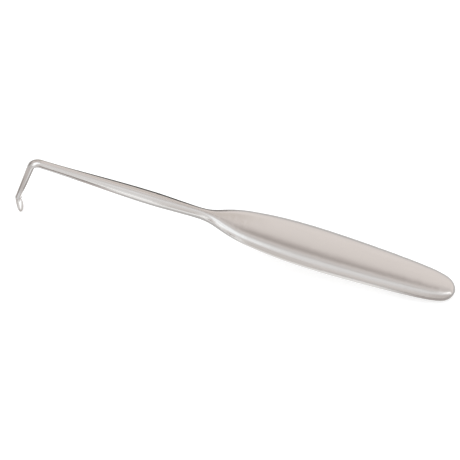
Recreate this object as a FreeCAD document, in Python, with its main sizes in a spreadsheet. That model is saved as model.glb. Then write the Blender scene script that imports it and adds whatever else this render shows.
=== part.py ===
import FreeCAD, Part
import math
import os

import Sketcher

# Hand-held surgical retractor: one bar of stainless steel, forged to a leaf-shaped
# handle at one end and bent to a hook with a flattened, turned-in lip at the other.
#
# The piece is modelled straight along +X: x = 0 is the outer face of the hook's leg,
# the handle's round end is at x = overall_length, +Z is up out of the handle's flat
# face and the leg points to -Z. Its Placement then lays it down as it comes to rest.

V = FreeCAD.Vector
NODE = "retractor"

doc = FreeCAD.newDocument("Retractor")

# Sizes, in millimetres and degrees. A "share" is a fraction of the size it names.
SIZES = [
    ("overall_length", 203.0, "leg's outer face to the handle's round end"),
    ("handle_length", 122.5, "neck to round end"),
    ("handle_width", 24.2, "widest point of the leaf"),
    ("handle_thick", 7.3, "thickest point of the leaf"),
    ("handle_fullness", 0.765, "squareness of the leaf's section: 0.707 is an ellipse"),
    ("neck_width", 5.2, "narrowest point, where the handle begins"),
    ("neck_thick", 4.9, ""),
    ("belly_share", 0.70, "place of the shaft's thickest point, bend to neck"),
    ("belly_width", 6.8, "shaft's thickest point"),
    ("belly_thick", 5.3, ""),
    ("bar_width", 4.1, "bar at the bend"),
    ("bar_thick", 3.25, ""),
    ("bar_fullness", 0.725, "squareness of the shaft's and the leg's section"),
    ("bend_radius", 3.65, "centre line of the bend"),
    ("leg_length", 21.7, "straight part of the leg"),
    ("leg_end_width", 3.0, "bar where the lip begins"),
    ("leg_end_thick", 2.5, ""),
    ("lip_radius", 7.1, "centre line of the lip's curve"),
    ("lip_turn", 33.0, "angle the lip turns in towards the handle"),
    ("lip_length", 5.2, "lip beyond its curve"),
    ("lip_width", 6.5, "widest point of the flattened lip"),
    ("lip_thick", 1.3, "lip near its tip"),
]

sheet = doc.addObject("Spreadsheet::Sheet", "Sizes")
for row, (alias, value, note) in enumerate(SIZES, start=1):
    sheet.set("A%d" % row, alias)
    sheet.set("B%d" % row, repr(value))
    sheet.setAlias("B%d" % row, alias)
    sheet.set("C%d" % row, note)
doc.recompute()

# The handle's outline and side profile, in three parts from the neck to the round end:
# share of handle_length, share of handle_width, share of handle_thick.
SHOULDER = [
    (0.029, 0.242, 0.662),
    (0.049, 0.294, 0.668),
    (0.078, 0.418, 0.690),
    (0.110, 0.560, 0.722),
    (0.143, 0.676, 0.758),
    (0.184, 0.7816, 0.8086),
    (0.192, 0.798, 0.818),
]
LEAF = [
    (0.192, 0.798, 0.818),
    (0.249, 0.886, 0.882),
    (0.322, 0.962, 0.952),
    (0.404, 1.000, 0.992),
    (0.494, 1.000, 1.000),
    (0.584, 0.972, 0.986),
    (0.673, 0.930, 0.958),
    (0.763, 0.873, 0.920),
    (0.845, 0.800, 0.866),
]
ROUND_END = [
    (0.853, 0.7916, 0.8598),
    (0.875, 0.7665, 0.8410),
    (0.902, 0.730, 0.814),
    (0.944, 0.634, 0.762),
    (0.968, 0.534, 0.716),
    (0.984, 0.390, 0.655),
    (0.9945, 0.218, 0.465),
    (0.9997, 0.060, 0.120),
]

# The lip's outline: share of lip_length beyond the curve, share of lip_width, share of
# lip_thick. The last four close its rounded tip.
LIP = [
    (0.310, 0.990, 1.180),
    (0.600, 0.945, 1.090),
    (0.810, 0.735, 1.000),
    (0.930, 0.465, 0.790),
    (0.992, 0.150, 0.300),
]

body = doc.addObject("PartDesign::Body", "Retractor_body")
body.Label = NODE


def origin_plane(role):
    return [item for item in body.Origin.OriginFeatures if item.Role == role][0]


def section(name, along, up, turn, wide, thick, fullness):
    """Add one squared oval across the bar.

    along and up place its centre in X and Z, turn leans it round Y, wide and thick are
    its full sizes. All are expressions on the sheet. The oval is a closed cubic curve
    with eight poles: four on its axes and four at its corners. fullness is how far out
    it passes at its corners, as a share of the half sizes.
    """
    sketch = body.newObject("Sketcher::SketchObject", name)
    sketch.AttachmentSupport = [(origin_plane("YZ_Plane"), "")]
    sketch.MapMode = "FlatFace"

    # In the sketch's own directions: Y is up, Z is along.
    lean = FreeCAD.Rotation(V(1, 0, 0), sketch.evalExpression(turn))
    sketch.AttachmentOffset = FreeCAD.Placement(V(0, 0, 0), lean)
    sketch.setExpression("AttachmentOffset.Base.y", up)
    sketch.setExpression("AttachmentOffset.Base.z", along)

    on_axis = "(12 - 6 * %s) / 14" % fullness
    corner = "(12 * %s - 3) / 14" % fullness
    drives = {
        "wide_axis": "(%s) * %s" % (wide, on_axis),
        "wide_corner": "(%s) * %s" % (wide, corner),
        "thick_axis": "(%s) * %s" % (thick, on_axis),
        "thick_corner": "(%s) * %s" % (thick, corner),
    }
    size = {key: float(sketch.evalExpression(text)) for key, text in drives.items()}
    wa, wc = size["wide_axis"], size["wide_corner"]
    ta, tc = size["thick_axis"], size["thick_corner"]
    poles = [V(wa, 0, 0), V(wc, tc, 0), V(0, ta, 0), V(-wc, tc, 0)]
    poles += [V(-pole.x, -pole.y, 0) for pole in poles]
    curve = Part.BSplineCurve()
    curve.buildFromPolesMultsKnots(poles, [1] * 9, [float(i) for i in range(9)], True, 3)
    oval = sketch.addGeometry(curve, False)
    sketch.exposeInternalGeometry(oval)

    # Pole circles 1 to 8 follow the curve; their centres (point 3) carry the sizes.
    rules = [
        ("PointOnObject", 1, 3, -1),
        ("DistanceX", -1, 1, 1, 3, wa),
        ("DistanceX", -1, 1, 2, 3, wc),
        ("DistanceY", -1, 1, 2, 3, tc),
        ("PointOnObject", 3, 3, -2),
        ("DistanceY", -1, 1, 3, 3, ta),
        ("Symmetric", 2, 3, 4, 3, -2),
        ("Symmetric", 1, 3, 5, 3, -1, 1),
        ("Symmetric", 2, 3, 6, 3, -1, 1),
        ("Symmetric", 3, 3, 7, 3, -1, 1),
        ("Symmetric", 4, 3, 8, 3, -1, 1),
    ]
    names = {1: "wide_axis", 2: "wide_corner", 3: "thick_corner", 5: "thick_axis"}
    for number, rule in enumerate(rules):
        index = sketch.addConstraint(Sketcher.Constraint(*rule))
        if number in names:
            sketch.renameConstraint(index, names[number])
            sketch.setExpression("Constraints." + names[number], drives[names[number]])
    return sketch


# Hook: the lip from its tip back to its curve, then the leg up to the bend.
hook = []
leg_x = "Sizes.bar_thick / 2"
leg_end_z = "-Sizes.bend_radius - Sizes.leg_length"
lip_x = leg_x + " + Sizes.lip_radius * (1 - cos(Sizes.lip_turn * 1 deg))"
lip_z = leg_end_z + " - Sizes.lip_radius * sin(Sizes.lip_turn * 1 deg)"
for number, (share, wide, thick) in reversed(list(enumerate(LIP, start=1))):
    hook.append(section(
        "lip_%d" % number,
        lip_x + " + %g * Sizes.lip_length * sin(Sizes.lip_turn * 1 deg)" % share,
        lip_z + " - %g * Sizes.lip_length * cos(Sizes.lip_turn * 1 deg)" % share,
        "-(90 + Sizes.lip_turn)",
        "%g * Sizes.lip_width" % wide,
        "%g * Sizes.lip_thick" % thick,
        "Sizes.handle_fullness",
    ))

# The lip's curve, where the bar flattens: share of lip_turn, and how far the section
# has gone from the leg's to the lip's.
for number, (share, blend) in reversed(list(enumerate([(0.5, 0.28), (1.0, 0.76)], start=1))):
    angle = "%g * Sizes.lip_turn * 1 deg" % share
    hook.append(section(
        "lip_curve_%d" % number,
        leg_x + " + Sizes.lip_radius * (1 - cos(%s))" % angle,
        leg_end_z + " - Sizes.lip_radius * sin(%s)" % angle,
        "-(90 + %g * Sizes.lip_turn)" % share,
        "Sizes.leg_end_width + %g * (Sizes.lip_width - Sizes.leg_end_width)" % blend,
        "Sizes.leg_end_thick + %g * (1.25 * Sizes.lip_thick - Sizes.leg_end_thick)" % share,
        "Sizes.handle_fullness",
    ))

# The leg tapers straight from the bend to the lip.
for number, (share, size) in enumerate([(0, "leg_end"), (1, "bar")], start=1):
    hook.append(section(
        "leg_%d" % number,
        leg_x,
        "-Sizes.bend_radius - %g * Sizes.leg_length" % (1 - share),
        "-90",
        "Sizes.%s_width" % size,
        "Sizes.%s_thick" % size,
        "Sizes.bar_fullness",
    ))


# Shaft: it starts with the bar's section, swells to its belly and narrows to the neck.
def swelling(name, start, end, sizes, shares):
    """Sections from start to end, easing from the first of the two sizes to the second."""
    found = []
    for number, share in enumerate(shares, start=1):
        ease = share * share * (3 - 2 * share)
        found.append(section(
            "%s_%d" % (name, number),
            "%s + %g * (%s - %s)" % (start, share, end, start),
            "0",
            "0",
            "Sizes.{0}_width + {2:g} * (Sizes.{1}_width - Sizes.{0}_width)".format(*sizes, ease),
            "Sizes.{0}_thick + {2:g} * (Sizes.{1}_thick - Sizes.{0}_thick)".format(*sizes, ease),
            "Sizes.bar_fullness",
        ))
    return found


bend_x = "(Sizes.bar_thick / 2 + Sizes.bend_radius)"
neck_x = "(Sizes.overall_length - Sizes.handle_length)"
belly_x = "(%s + Sizes.belly_share * (%s - %s))" % (bend_x, neck_x, bend_x)
shaft = [section("bar", bend_x, "0", "0", "Sizes.bar_width", "Sizes.bar_thick", "Sizes.bar_fullness")]
shaft += swelling("shaft", bend_x, belly_x, ("bar", "belly"), [n / 8 for n in range(1, 9)])
neck = swelling("neck", belly_x, neck_x, ("belly", "neck"), [0.06, 0.2, 0.5, 0.8, 1.0])


# Handle: the section squares up as the leaf opens out.
def across_handle(name, rows):
    found = []
    for number, (share, wide, thick) in enumerate(rows, start=1):
        squaring = min(share / 0.15, 1.0)
        found.append(section(
            "%s_%d" % (name, number),
            "%s + %g * Sizes.handle_length" % (neck_x, share),
            "0",
            "0",
            "%g * Sizes.handle_width" % wide,
            "%g * Sizes.handle_thick" % thick,
            "(Sizes.bar_fullness + %g * (Sizes.handle_fullness - Sizes.bar_fullness))" % squaring,
        ))
    return found


shoulder = [shaft[-1]] + neck + across_handle("shoulder", SHOULDER)

# The leaf's rows lie on one smooth line, and the sections stand close along it.
line = Part.BSplineCurve()
line.interpolate([V(*row) for row in LEAF])
stations = [line.value(line.FirstParameter + n / 14 * (line.LastParameter - line.FirstParameter)) for n in range(1, 15)]
leaf = [shoulder[-1]] + across_handle("leaf", [tuple(station) for station in stations])
round_end = [leaf[-1]] + across_handle("end", ROUND_END)

# The bend turns the bar's section a quarter round a line across it, below the shaft.
axis = shaft[0].addGeometry(Part.LineSegment(V(-5, -5, 0), V(5, -5, 0)), True)
shaft[0].addConstraint(Sketcher.Constraint("Symmetric", axis, 1, axis, 2, -2))
shaft[0].addConstraint(Sketcher.Constraint("DistanceX", axis, 1, axis, 2, 10))
drop = shaft[0].addConstraint(Sketcher.Constraint("DistanceY", axis, 1, -1, 1, 5))
shaft[0].renameConstraint(drop, "bend_centre")
shaft[0].setExpression("Constraints.bend_centre", "Sizes.bend_radius")

doc.recompute()


def loft(name, sketches, ruled=False):
    """Join the sections by one smooth skin, or by straight ones from each to the next."""
    feature = body.newObject("PartDesign::AdditiveLoft", name)
    feature.Profile = sketches[0]
    feature.Sections = sketches[1:]
    feature.Ruled = ruled
    feature.Closed = False
    doc.recompute()
    return feature


loft("Leaf", leaf, ruled=True)
loft("Round_end", round_end)
loft("Neck_and_shoulder", shoulder)
loft("Shaft", shaft, ruled=True)

bend = body.newObject("PartDesign::Revolution", "Bend")
bend.Profile = shaft[0]
bend.ReferenceAxis = (shaft[0], ["Axis0"])
bend.Angle = 90
bend.Reversed = True
doc.recompute()

loft("Leg", hook[-2:], ruled=True)
forging = loft("Lip", hook[:-1])
body.Tip = forging
doc.recompute()


def resting_placement(shape):
    """Lay the shape down in its XZ plane: the placement that rests it on the two lowest
    points that straddle its centre of gravity, centred over the origin."""
    points = [(p.x, p.z) for p in shape.tessellate(0.02)[0]]
    middle = shape.CenterOfMass.x
    hull = []
    for x, z in sorted(set(points)):
        while len(hull) > 1:
            (ax, az), (bx, bz) = hull[-2], hull[-1]
            if (bx - ax) * (z - az) - (bz - az) * (x - ax) > 0:
                break
            hull.pop()
        hull.append((x, z))
    low, high = [pair for pair in zip(hull, hull[1:]) if pair[0][0] <= middle < pair[1][0]][0]
    tilt = math.atan2(high[1] - low[1], high[0] - low[0])
    turned = [
        (x * math.cos(tilt) + z * math.sin(tilt), z * math.cos(tilt) - x * math.sin(tilt))
        for x, z in points
    ]
    xs = [x for x, z in turned]
    zs = [z for x, z in turned]
    shift = V(-(min(xs) + max(xs)) / 2, 0, -min(zs))
    return FreeCAD.Placement(shift, FreeCAD.Rotation(V(0, 1, 0), math.degrees(tilt)))


body.Placement = resting_placement(forging.Shape.Solids[0])
doc.recompute()

for item in doc.Objects:
    for flag in ("Invalid", "Error"):
        if flag in item.State:
            raise RuntimeError("%s is %s" % (item.Name, flag))
if body.Shape.isNull() or not body.Shape.isValid():
    raise RuntimeError("the retractor's shape is not valid")
if len(body.Shape.Solids) != 1:
    raise RuntimeError("the retractor is not one solid")

os.makedirs("parts", exist_ok=True)
body.Shape.exportStep("parts/%s.step" % NODE)

box = body.Shape.BoundBox
tilt = math.degrees(body.Placement.Rotation.Angle)
print("%s: %.0f mm3, tilt %.2f degrees" % (NODE, body.Shape.Volume, tilt))
print("box %.1f x %.1f x %.1f mm" % (box.XLength, box.YLength, box.ZLength))
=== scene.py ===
import math

import bmesh
import bpy
from mathutils import Matrix, Vector

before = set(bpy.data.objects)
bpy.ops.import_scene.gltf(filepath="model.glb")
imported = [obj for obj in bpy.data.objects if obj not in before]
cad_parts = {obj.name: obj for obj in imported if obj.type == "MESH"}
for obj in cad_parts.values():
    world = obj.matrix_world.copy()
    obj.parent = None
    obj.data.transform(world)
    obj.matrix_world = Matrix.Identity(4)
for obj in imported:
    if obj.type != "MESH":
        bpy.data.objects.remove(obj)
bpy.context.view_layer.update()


# Camera: a long lens three metres off, above the near side of the instrument and
# turned a little clockwise, so that the shaft runs down towards the right.
height = math.radians(49.19)
swing = math.radians(0.10)
roll = math.radians(11.09)
distance = 3.0
aim_right = -0.00175
aim_up = 0.00956
level_part = math.cos(height)
towards = Vector((level_part * math.sin(swing), -level_part * math.cos(swing), math.sin(height)))
level = Vector((math.cos(swing), math.sin(swing), 0.0))
upright = towards.cross(level)
right = level * math.cos(roll) + upright * math.sin(roll)
up = upright * math.cos(roll) - level * math.sin(roll)
stand = right * aim_right + up * aim_up + towards * distance
lens = bpy.data.cameras.new("camera")
lens.lens = 516.0
lens.sensor_width = 36.0
lens.clip_start = 0.1
lens.clip_end = 20.0
camera = bpy.data.objects.new("camera", lens)
camera.matrix_world = Matrix.Translation(stand) @ Matrix((right, up, towards)).transposed().to_4x4()
bpy.context.collection.objects.link(camera)
bpy.context.scene.camera = camera


# Retractor: one bar of stainless steel, forged to a leaf-shaped handle, drawn down to
# the shaft, bent to a hook and flattened at the lip. It is ground smooth and then
# brushed along its length to a satin finish.
class Wire:
    """A socket of a node tree. Arithmetic on wires adds the nodes that do it."""

    def __init__(self, tree, socket=None):
        self.tree = tree
        self.socket = socket

    def node(self, kind, settings=(), inputs=(), out=0):
        """Add a node: its settings first, then what its sockets are given."""
        added = self.tree.nodes.new(kind)
        for name, value in dict(settings).items():
            if name == "stops":
                ramp = added.color_ramp.elements
                while len(ramp) > 1:
                    ramp.remove(ramp[-1])
                for number, (position, color) in enumerate(value):
                    stop = ramp[0] if number == 0 else ramp.new(position)
                    stop.position = position
                    stop.color = color
            elif name == "run":
                added.color_ramp.interpolation = value
            else:
                setattr(added, name, value)
        for name, value in dict(inputs).items():
            if isinstance(value, Wire):
                self.tree.links.new(value.socket, added.inputs[name])
            else:
                added.inputs[name].default_value = value
        return Wire(self.tree, added.outputs[out] if added.outputs else None)

    def output(self, name):
        """Another output of the node that this wire comes from."""
        return Wire(self.tree, self.socket.node.outputs[name])

    def maths(self, operation, *values):
        return self.node("ShaderNodeMath", {"operation": operation}, enumerate(values))

    def __add__(self, other):
        return self.maths("ADD", self, other)

    def __radd__(self, other):
        return self.maths("ADD", other, self)

    def __sub__(self, other):
        return self.maths("SUBTRACT", self, other)

    def __rsub__(self, other):
        return self.maths("SUBTRACT", other, self)

    def __mul__(self, other):
        return self.maths("MULTIPLY", self, other)

    def __rmul__(self, other):
        return self.maths("MULTIPLY", other, self)

    def eased(self, low, high):
        """0 below low, 1 above high, and an eased rise between them."""
        settings = {"interpolation_type": "SMOOTHSTEP", "clamp": True}
        return self.node("ShaderNodeMapRange", settings, {"Value": self, "From Min": low, "From Max": high})


satin_steel = bpy.data.materials.new("satin_steel")
satin_steel.use_nodes = True
satin_steel.node_tree.nodes.clear()
steel = Wire(satin_steel.node_tree)
place = steel.node("ShaderNodeTexCoord", out="Object")


def brushing(stretch, detail, roughness):
    """Noise drawn out along the bar. Stretch is its repeats to the metre, each way."""
    drawn = steel.node("ShaderNodeMapping", inputs={"Vector": place, "Scale": stretch})
    noise = {"Vector": drawn, "Scale": 1.0, "Detail": detail, "Roughness": roughness}
    return steel.node("ShaderNodeTexNoise", {"noise_dimensions": "3D"}, noise, "Fac")


# Fine, short brush lines over broad, faint streaks: the streaks change the grey a
# little, both change the gloss, and the lines are also scratched in.
lines = brushing((120.0, 4200.0, 4200.0), 3.0, 0.6)
streaks = brushing((25.0, 420.0, 420.0), 2.0, 0.5)
darker_grey = (0.645, 0.606, 0.584, 1.0)
lighter_grey = (0.680, 0.641, 0.618, 1.0)
grey = steel.node(
    "ShaderNodeMix", {"data_type": "RGBA"}, {"Factor": streaks, 6: darker_grey, 7: lighter_grey}, 2
)
line_depth = 0.00004
rough = 0.11 + 0.05 * lines + 0.04 * streaks
scratched = steel.node("ShaderNodeBump", inputs={"Strength": 0.10, "Distance": line_depth, "Height": lines})
surface = steel.node(
    "ShaderNodeBsdfPrincipled",
    inputs={"Base Color": grey, "Metallic": 1.0, "Roughness": rough, "Normal": scratched},
)
steel.node("ShaderNodeOutputMaterial", inputs={"Surface": surface})

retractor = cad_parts["retractor"]
for slot in retractor.material_slots:
    slot.material = satin_steel


# Floor: a plain pale table top that takes the instrument's soft shadow. Its glow makes
# it white in the picture and a little brighter in the steel, and lights nothing else.
picture_glow = 0.62
steel_glow = 0.10
glow_white = (1.0, 1.0, 1.0, 1.0)
table_grey = (0.58, 0.58, 0.58, 1.0)
sheet = bmesh.new()
bmesh.ops.create_grid(sheet, x_segments=1, y_segments=1, size=4.0)
table_mesh = bpy.data.meshes.new("table_top")
sheet.to_mesh(table_mesh)
sheet.free()
table_top = bpy.data.objects.new("table_top", table_mesh)
bpy.context.collection.objects.link(table_top)
pale_table = bpy.data.materials.new("pale_table")
pale_table.use_nodes = True
pale_table.node_tree.nodes.clear()
table = Wire(pale_table.node_tree)
seen = table.node("ShaderNodeLightPath", out="Is Camera Ray")
mirrored = seen.output("Is Glossy Ray")
through = seen.output("Is Transmission Ray")
glow_strength = picture_glow * seen + steel_glow * mirrored + steel_glow * through
glow = table.node("ShaderNodeEmission", inputs={"Color": glow_white, "Strength": glow_strength})
matt = table.node("ShaderNodeBsdfDiffuse", inputs={"Color": table_grey})
lit = table.node("ShaderNodeAddShader", inputs={0: matt, 1: glow})
table.node("ShaderNodeOutputMaterial", inputs={"Surface": lit})
table_mesh.materials.append(pale_table)


# Light: a white tent over the table. From the back over the top to the front come its
# wall, a dark gap, the lamp overhead and the front. A second lamp stands front left, and
# the right side is grey, with a shaded foot and a bright strip.
tent_strength = 2.0


def tent_shade(red, green, blue):
    """A shade of the tent, where 1 is white, as it is before the tent's strength."""
    return (red / tent_strength, green / tent_strength, blue / tent_strength, 1.0)


light_tent = bpy.data.worlds.new("light_tent")
bpy.context.scene.world = light_tent
light_tent.use_nodes = True
light_tent.node_tree.nodes.clear()
tent = Wire(light_tent.node_tree)
way = tent.node("ShaderNodeTexCoord", out="Generated")
way_x = tent.node("ShaderNodeSeparateXYZ", inputs={"Vector": way}, out="X")
way_y = way_x.output("Y")
way_z = way_x.output("Z")

# Degrees over the tent: 0 is level at the back, 90 overhead and 180 level at the front.
over = tent.maths("ARCTAN2", way_z, way_y) * math.degrees(1.0)

# Each stop is its degrees over the tent, its shade and how warm it is, in per cent.
tent_stops = [
    (0, 0.68, 0), (8, 0.72, 0), (14, 0.82, 1), (20, 0.95, 2), (28, 1.00, 3), (38, 0.98, 3),
    (47, 0.96, 3), (52, 0.92, 3), (56, 0.64, 5), (60, 0.44, 6), (64, 0.58, 5), (68, 0.84, 2),
    (74, 0.80, 0), (79, 0.83, -1), (85, 0.98, -3), (90, 1.03, -3), (96, 1.01, -3), (105, 0.98, -3),
    (115, 0.94, -1), (125, 0.92, 0), (140, 0.87, 1), (155, 0.80, 2), (170, 0.77, 2), (180, 0.77, 2),
]
stops = [
    (degrees / 180, tent_shade(shade * (1 + warm / 100), shade, shade * (1 - warm / 150)))
    for degrees, shade, warm in tent_stops
]
inside = tent.node("ShaderNodeValToRGB", {"run": "EASE", "stops": stops}, {"Fac": over * (1 / 180)}, "Color")

# The lamp at the front left leans: its right edge lies further right the higher it is,
# from 170 degrees over the tent, low at the front, to 65 degrees above that.
clamped = {"operation": "MULTIPLY", "use_clamp": True}
rise = tent.node("ShaderNodeMath", clamped, {0: 170 - over, 1: 1 / 65})
lamp_edge = 0.68 * rise * rise - 0.53
lamp_shade = tent.node(
    "ShaderNodeMix",
    {"data_type": "RGBA"},
    {
        "Factor": (0.0 - way_x).eased(0.15, 0.42),
        6: tent_shade(1.34, 1.44, 1.50),
        7: tent_shade(1.64, 1.76, 1.82),
    },
    2,
)
front_left = (lamp_edge - way_x).eased(-0.12, 0.12) * (way_x + 0.88).eased(0, 0.16) * over.eased(76, 87)
shaded_foot = way_x.eased(0.29, 0.40) * over.eased(48, 54) * (70 - over).eased(0, 6)
grey_side = way_x.eased(0.36, 0.56) * over.eased(86, 106)
bright_strip = way_x.eased(0.43, 0.53) * over.eased(63, 68) * (83 - over).eased(0, 6)
for part, shade in (
    (front_left, lamp_shade),
    (shaded_foot, tent_shade(0.83, 0.81, 0.80)),
    (grey_side, tent_shade(0.74, 0.72, 0.71)),
    (bright_strip, tent_shade(1.72, 1.80, 1.84)),
):
    inside = tent.node("ShaderNodeMix", {"data_type": "RGBA"}, {"Factor": part, 6: inside, 7: shade}, 2)
light = tent.node("ShaderNodeBackground", inputs={"Color": inside, "Strength": tent_strength})
tent.node("ShaderNodeOutputWorld", inputs={"Surface": light})


# Cards: white and grey cards stood and laid round the polished steel, as for a studio
# picture. The steel mirrors them; they are out of the picture and light nothing else.
def card(name, middle, facing, size, shade, soft):
    """A card whose size and soft edges are given along the level and then across it."""
    shape = bmesh.new()
    shape.loops.layers.uv.new("UVMap")
    bmesh.ops.create_grid(shape, x_segments=1, y_segments=1, size=0.5, calc_uvs=True)
    bmesh.ops.scale(shape, vec=(size[0], size[1], 1.0), verts=shape.verts)
    face = Vector(facing).normalized()
    along = Vector((0.0, 0.0, 1.0)).cross(face)
    along = along.normalized() if along.length > 0.01 else Vector((1.0, 0.0, 0.0))
    across = face.cross(along).normalized()
    turn = Matrix((across.cross(face), across, face)).transposed().to_4x4()
    bmesh.ops.transform(shape, matrix=Matrix.Translation(middle) @ turn, verts=shape.verts)
    mesh = bpy.data.meshes.new(name)
    shape.to_mesh(mesh)
    shape.free()
    made = bpy.data.objects.new(name, mesh)
    bpy.context.collection.objects.link(made)
    made.visible_camera = False
    made.visible_diffuse = False
    made.visible_shadow = False
    made.visible_transmission = False
    board = bpy.data.materials.new(name)
    board.use_nodes = True
    board.node_tree.nodes.clear()
    paper = Wire(board.node_tree)
    corner = paper.node("ShaderNodeTexCoord", out="UV")
    u = paper.node("ShaderNodeSeparateXYZ", inputs={"Vector": corner}, out="X")
    v = u.output("Y")
    edge_u = paper.maths("MINIMUM", u, 1.0 - u).eased(0.0, soft[0] / size[0])
    edge_v = paper.maths("MINIMUM", v, 1.0 - v).eased(0.0, soft[1] / size[1])
    clear = paper.node("ShaderNodeBsdfTransparent")
    bright = paper.node("ShaderNodeEmission", inputs={"Color": (*shade, 1.0), "Strength": 1.0})
    mixed = paper.node("ShaderNodeMixShader", inputs={0: edge_u * edge_v, 1: clear, 2: bright})
    paper.node("ShaderNodeOutputMaterial", inputs={"Surface": mixed})
    mesh.materials.append(board)


# Which way a card faces: up or down, to the front, to the back or to the right. Two
# cards at the back lean over the shaft.
to_top = (0.0, 0.0, 1.0)
to_table = (0.0, 0.0, -1.0)
to_front = (0.0, -1.0, 0.0)
to_back = (0.0, 1.0, 0.0)
to_right = (1.0, 0.0, 0.0)
leaning_most = (0.0, -0.5, -0.866)
leaning_less = (0.0, -0.766, -0.643)

# Each card: its name, its middle, the way it faces, its size, its shade where 1 is white,
# and the width of its soft edges.
for row in (
    ("card_above_shaft", (-0.006, 0.125, 0.241), leaning_most, (0.120, 0.110), (0.93, 0.91, 0.90), (0.030, 0.030)),
    ("card_behind_shaft", (-0.001, 0.168, 0.174), leaning_less, (0.108, 0.100), (0.79, 0.75, 0.71), (0.030, 0.025)),
    ("card_behind_neck", (-0.040, 0.080, 0.015), to_front, (0.094, 0.118), (0.05, 0.045, 0.04), (0.026, 0.036)),
    ("card_behind_on_table", (-0.042, 0.055, 0.0005), to_top, (0.095, 0.056), (0.30, 0.28, 0.26), (0.020, 0.020)),
    ("card_behind_bend", (-0.135, 0.082, 0.055), to_front, (0.130, 0.130), (0.60, 0.57, 0.54), (0.020, 0.030)),
    ("card_above_hook", (-0.050, 0.005, 0.250), to_table, (0.070, 0.130), (0.92, 0.93, 0.93), (0.020, 0.030)),
    ("card_in_front", (-0.032, -0.200, 0.060), to_back, (0.078, 0.130), (1.37, 1.43, 1.45), (0.016, 0.030)),
    ("card_high_in_front", (-0.014, -0.201, 0.215), to_back, (0.115, 0.230), (1.02, 1.07, 1.10), (0.035, 0.035)),
    ("card_on_table", (-0.020, -0.1135, 0.0008), to_top, (0.104, 0.173), (1.24, 1.29, 1.31), (0.016, 0.030)),
    ("card_before_handle", (0.020, -0.030, 0.018), to_back, (0.054, 0.064), (0.80, 0.79, 0.78), (0.010, 0.016)),
    ("card_before_hook", (-0.081, -0.199, 0.012), to_back, (0.054, 0.075), (0.32, 0.30, 0.29), (0.008, 0.022)),
    ("card_under_hook", (-0.100, -0.040, 0.0004), to_top, (0.100, 0.160), (0.73, 0.71, 0.70), (0.020, 0.030)),
    ("card_by_hook", (-0.077, -0.165, 0.0006), to_top, (0.050, 0.270), (0.42, 0.40, 0.39), (0.010, 0.014)),
    ("card_by_end", (0.110, -0.035, 0.0004), to_top, (0.080, 0.080), (0.54, 0.52, 0.51), (0.020, 0.016)),
    ("card_by_handle", (0.036, -0.024, 0.0006), to_top, (0.112, 0.070), (1.08, 1.11, 1.12), (0.030, 0.018)),
    ("card_by_lip", (-0.0905, 0.0045, 0.0010), to_top, (0.014, 0.015), (1.56, 1.64, 1.68), (0.003, 0.003)),
    ("card_before_lip", (-0.086, -0.021, 0.005), to_back, (0.022, 0.014), (1.25, 1.32, 1.35), (0.004, 0.003)),
    ("card_beside_leg", (-0.08525, 0.000, 0.0075), to_top, (0.0225, 0.018), (0.47, 0.45, 0.44), (0.002, 0.002)),
    ("card_left", (-0.118, 0.002, 0.0008), to_top, (0.018, 0.022), (0.42, 0.40, 0.39), (0.004, 0.005)),
    ("card_far_left", (-0.150, 0.042, 0.025), to_right, (0.096, 0.070), (0.43, 0.41, 0.40), (0.012, 0.024)),
    ("card_front_left", (-0.200, -0.200, 0.055), to_back, (0.075, 0.130), (1.38, 1.45, 1.48), (0.020, 0.030)),
    ("card_near_left", (-0.119, -0.090, 0.0012), to_top, (0.030, 0.100), (1.19, 1.25, 1.28), (0.008, 0.015)),
    ("card_by_tip", (-0.105, -0.0083, 0.0014), to_top, (0.016, 0.007), (0.90, 0.95, 0.98), (0.002, 0.002)),
    ("card_under_leg", (-0.0895, -0.0215, 0.0012), to_top, (0.019, 0.025), (1.00, 1.05, 1.08), (0.004, 0.004)),
):
    card(*row)

# The picture keeps its colours plain.
scene = bpy.context.scene
scene.view_settings.view_transform = "Standard"
